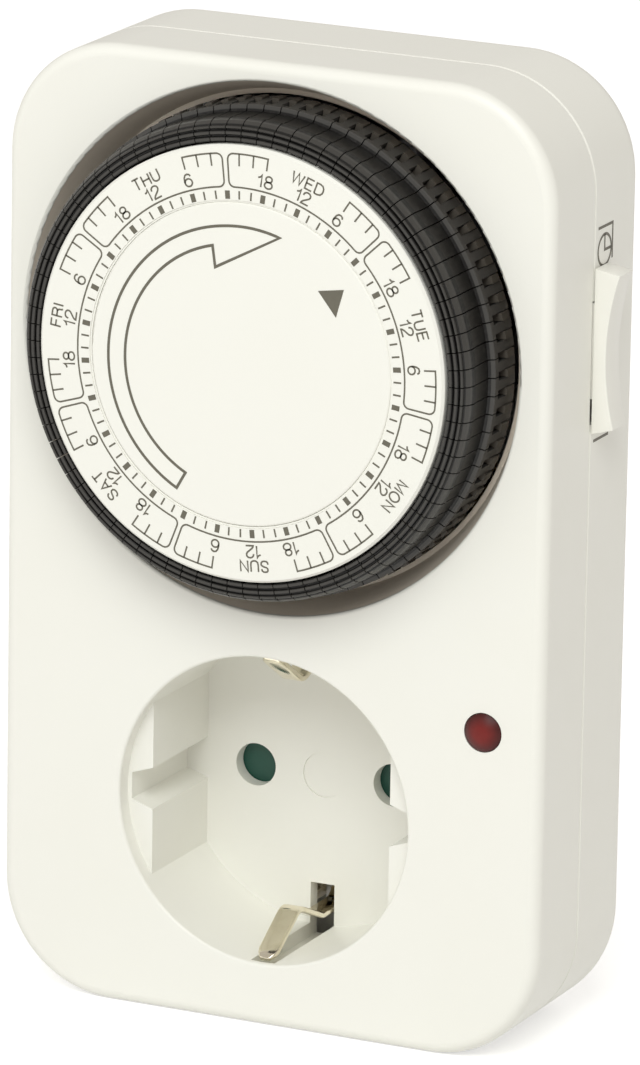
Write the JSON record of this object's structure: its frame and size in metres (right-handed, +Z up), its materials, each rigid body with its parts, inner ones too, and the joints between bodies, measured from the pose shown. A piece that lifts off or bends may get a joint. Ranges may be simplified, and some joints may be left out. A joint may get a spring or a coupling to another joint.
{
  "type": "plug in timer switch",
  "caption": "Plug-in weekly timer switch with a push-tappet dial, an earthed socket with child shutter, a side switch and a neon lamp, on a round two-pin earthed mains plug.",
  "frame": {"origin": "middle of the plug's end face, on the common axis of the plug and the socket", "axes": "+X to the right and +Z up as the user sees the front, +Y back into the wall socket"},
  "size_m": [0.0766, 0.0713, 0.1218],
  "materials": {
    "housing": "satin",
    "dial_face": "satin",
    "dial_wheel": "satin",
    "tappet": "gloss",
    "gear": "satin",
    "movement_plate": "satin",
    "post": "satin",
    "coil": "satin",
    "rotor": "matte",
    "lens": "gloss",
    "bulb": "gloss",
    "resistor": "satin",
    "slider": "satin",
    "shutter": "satin",
    "inner_plastic": "satin",
    "pin_metal": "polished",
    "contact_metal": "satin",
    "earth_metal": "polished",
    "steel": "satin"
  },
  "bodies": {
    "housing": {"front_housing": "housing", "back_housing": "housing", "centre_disc": "dial_face", "movement_plate": "movement_plate", "motor_can": "movement_plate", "motor_cover": "movement_plate", "dial_post": "post", "gear_shaft": "post", "lever_pin": "post", "motor_coil": "coil", "lamp_lens": "lens", "neon_bulb": "bulb", "lamp_resistor": "resistor", "switch_base": "inner_plastic", "shutter_cover": "inner_plastic", "live_plug_pin": "pin_metal", "neutral_plug_pin": "pin_metal", "live_strap": "contact_metal", "load_strap": "contact_metal", "neutral_strap": "contact_metal", "live_socket_sleeve": "contact_metal", "neutral_socket_sleeve": "contact_metal", "socket_earth_clip": "earth_metal", "plug_earth_spring_top": "earth_metal", "plug_earth_spring_bottom": "earth_metal", "housing_screws": "steel", "movement_screws": "steel", "shutter_spring": "steel"},
    "dial": {"dial_wheel": "dial_wheel", "scale_ring": "dial_face"},
    "reduction_gear": {"reduction_gear": "gear"},
    "motor_pinion": {"motor_pinion": "gear"},
    "motor_rotor": {"motor_rotor": "rotor"},
    "trip_lever": {"trip_lever": "inner_plastic"},
    "moving_contact": {"moving_contact": "contact_metal"},
    "side_switch": {"side_switch": "slider"},
    "child_shutter": {"child_shutter": "shutter"},
    "tappets_monday": {"tappets_monday": "tappet"},
    "tappets_tuesday": {"tappets_tuesday": "tappet"},
    "tappets_wednesday": {"tappets_wednesday": "tappet"},
    "tappets_thursday": {"tappets_thursday": "tappet"},
    "tappets_friday": {"tappets_friday": "tappet"},
    "tappets_saturday": {"tappets_saturday": "tappet"},
    "tappets_sunday": {"tappets_sunday": "tappet"}
  },
  "joints": [
    {"name": "dial_spin", "type": "hinge", "parent": "housing", "child": "dial", "pos_m": [0, -0.0442, 0.0585], "axis": [0, 1, 0], "continuous": true},
    {"name": "tappets_monday_push", "type": "slide", "parent": "dial", "child": "tappets_monday", "axis": [0, 1, 0], "range_m": [0, 0.002]},
    {"name": "tappets_tuesday_push", "type": "slide", "parent": "dial", "child": "tappets_tuesday", "axis": [0, 1, 0], "range_m": [0, 0.002]},
    {"name": "tappets_wednesday_push", "type": "slide", "parent": "dial", "child": "tappets_wednesday", "axis": [0, 1, 0], "range_m": [0, 0.002]},
    {"name": "tappets_thursday_push", "type": "slide", "parent": "dial", "child": "tappets_thursday", "axis": [0, 1, 0], "range_m": [0, 0.002]},
    {"name": "tappets_friday_push", "type": "slide", "parent": "dial", "child": "tappets_friday", "axis": [0, 1, 0], "range_m": [0, 0.002]},
    {"name": "tappets_saturday_push", "type": "slide", "parent": "dial", "child": "tappets_saturday", "axis": [0, 1, 0], "range_m": [0, 0.002]},
    {"name": "tappets_sunday_push", "type": "slide", "parent": "dial", "child": "tappets_sunday", "axis": [0, 1, 0], "range_m": [0, 0.002]},
    {"name": "reduction_gear_spin", "type": "hinge", "parent": "housing", "child": "reduction_gear", "pos_m": [-0.01691, -0.0367, 0.05234], "axis": [0, 1, 0], "continuous": true},
    {"name": "motor_pinion_spin", "type": "hinge", "parent": "housing", "child": "motor_pinion", "pos_m": [-0.00306, -0.0362, 0.04434], "axis": [0, 1, 0], "continuous": true},
    {"name": "motor_rotor_spin", "type": "hinge", "parent": "housing", "child": "motor_rotor", "pos_m": [-0.00306, -0.0252, 0.04434], "axis": [0, 1, 0], "continuous": true},
    {"name": "trip_lever_tilt", "type": "hinge", "parent": "housing", "child": "trip_lever", "pos_m": [0.0238, -0.0347, 0.0645], "axis": [-1, 0, 0], "range_deg": [0, 4.5], "stiffness_Nm_per_rad": 0.02},
    {"name": "moving_contact_bend", "type": "hinge", "parent": "housing", "child": "moving_contact", "pos_m": [0.0238, -0.0326, 0.0676], "axis": [-1, 0, 0], "range_deg": [0, 4]},
    {"name": "side_switch_slide", "type": "slide", "parent": "housing", "child": "side_switch", "axis": [0, 0, 1], "range_m": [-0.003, 0]},
    {"name": "child_shutter_turn", "type": "hinge", "parent": "housing", "child": "child_shutter", "pos_m": [0, -0.0232, 0], "axis": [0, 1, 0], "range_deg": [0, 38], "stiffness_Nm_per_rad": 0.005, "deforming": ["shutter_spring"]}
  ],
  "couplings": [
    {"joint": "reduction_gear_spin", "follows": "dial_spin", "ratio": -4},
    {"joint": "motor_pinion_spin", "follows": "dial_spin", "ratio": 12},
    {"joint": "moving_contact_bend", "follows": "trip_lever_tilt", "ratio": 0.88889}
  ]
}
